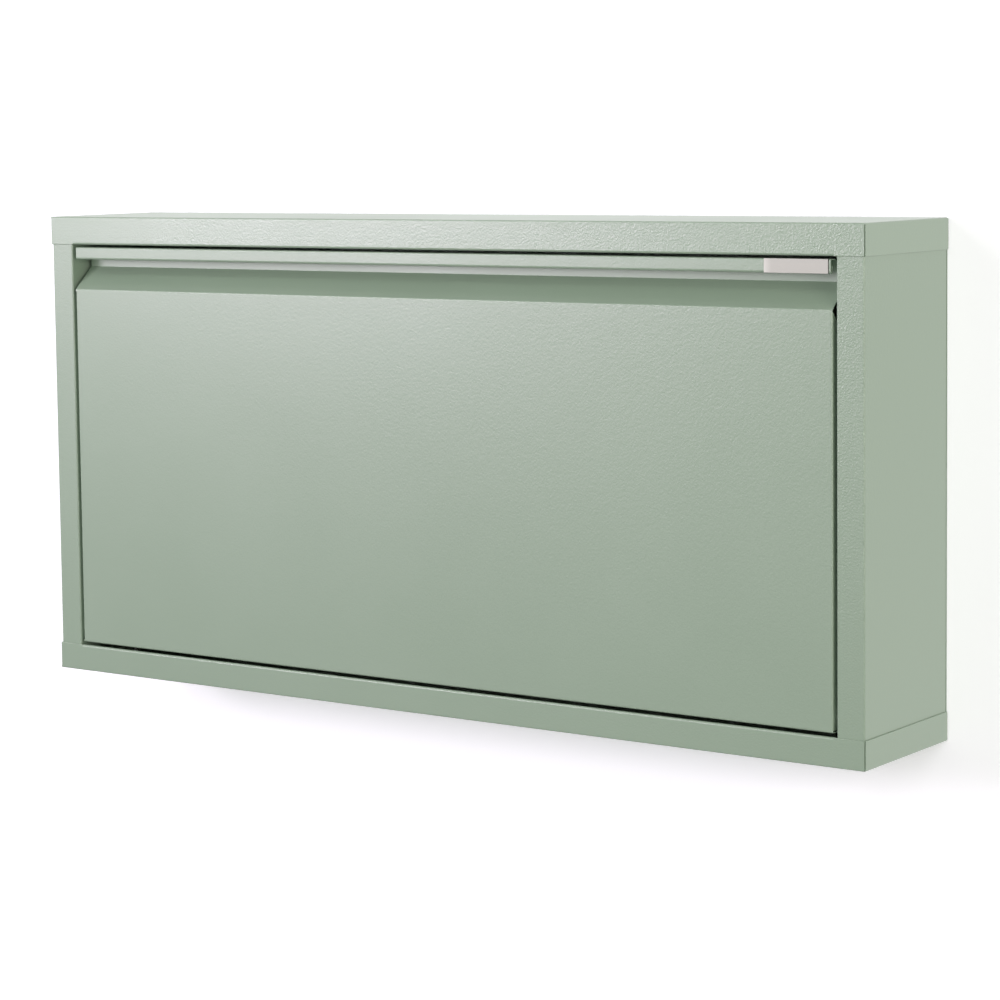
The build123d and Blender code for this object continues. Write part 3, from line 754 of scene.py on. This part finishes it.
links.new(through.outputs["Value"], choice.inputs["Fac"])
links.new(dim_room.outputs["Background"], choice.inputs[1])
links.new(white_room.outputs["Background"], choice.inputs[2])
links.new(choice.outputs["Shader"], nodes["World Output"].inputs["Surface"])


def softbox(name, place, target, width, height, power, colour):
    """A rectangular lamp aimed at a point of the cabinet."""
    lamp = bpy.data.lights.new(name, "AREA")
    lamp.shape = "RECTANGLE"
    lamp.size = width
    lamp.size_y = height
    lamp.energy = power
    lamp.color = colour
    holder = bpy.data.objects.new(name, lamp)
    bpy.context.scene.collection.objects.link(holder)
    holder.location = place
    holder.rotation_euler = (Vector(target) - Vector(place)).to_track_quat("-Z", "Y").to_euler()
    holder.visible_camera = False


softbox("left_softbox", place=(-1.95, -2.3, 0.45), target=(0.0, -0.15, 0.1),
        width=0.8, height=0.6, power=26.8, colour=(0.98, 0.88, 1.0))
softbox("middle_softbox", place=(-1.5, -2.65, 0.4), target=(0.0, -0.15, 0.1),
        width=0.8, height=0.8, power=13.4, colour=(0.985, 0.82, 1.0))
softbox("high_softbox", place=(-1.6, -1.7, 1.7), target=(0.0, -0.15, 0.0),
        width=0.8, height=0.6, power=12.1, colour=white)
softbox("camera_fill", place=(1.4, -3.2, 0.6), target=(0.0, -0.1, 0.0),
        width=1.2, height=1.2, power=25.7, colour=white)
softbox("right_softbox", place=(2.6, -1.2, 0.3), target=(0.3, -0.1, 0.0),
        width=1.2, height=1.2, power=26.8, colour=(1.0, 0.90, 0.85))

# Camera: in front of the cabinet, to its right and a little above its middle, with a long lens.
# It is turned and rolled as the photograph was taken.
stand = (1.5747, -2.2737, 0.3007)
heading = math.radians(36.374)
pitch = math.radians(5.027)
roll = math.radians(-0.774)
ahead = Vector((
    -math.sin(heading) * math.cos(pitch),
    math.cos(heading) * math.cos(pitch),
    -math.sin(pitch),
))
level = ahead.cross(Vector((0.0, 0.0, 1.0))).normalized()
above = level.cross(ahead)
across = level * math.cos(roll) + above * math.sin(roll)
upward = above * math.cos(roll) - level * math.sin(roll)
lens = bpy.data.cameras.new("camera")
lens.sensor_width = 36.0
lens.lens = 106.0
lens.shift_x = 0.0715
lens.shift_y = -0.1064
camera = bpy.data.objects.new("camera", lens)
bpy.context.scene.collection.objects.link(camera)
axes = Matrix((across, upward, -ahead)).transposed()
camera.matrix_world = Matrix.Translation(stand) @ axes.to_4x4()
bpy.context.scene.camera = camera
bpy.context.scene.view_settings.view_transform = "Standard"
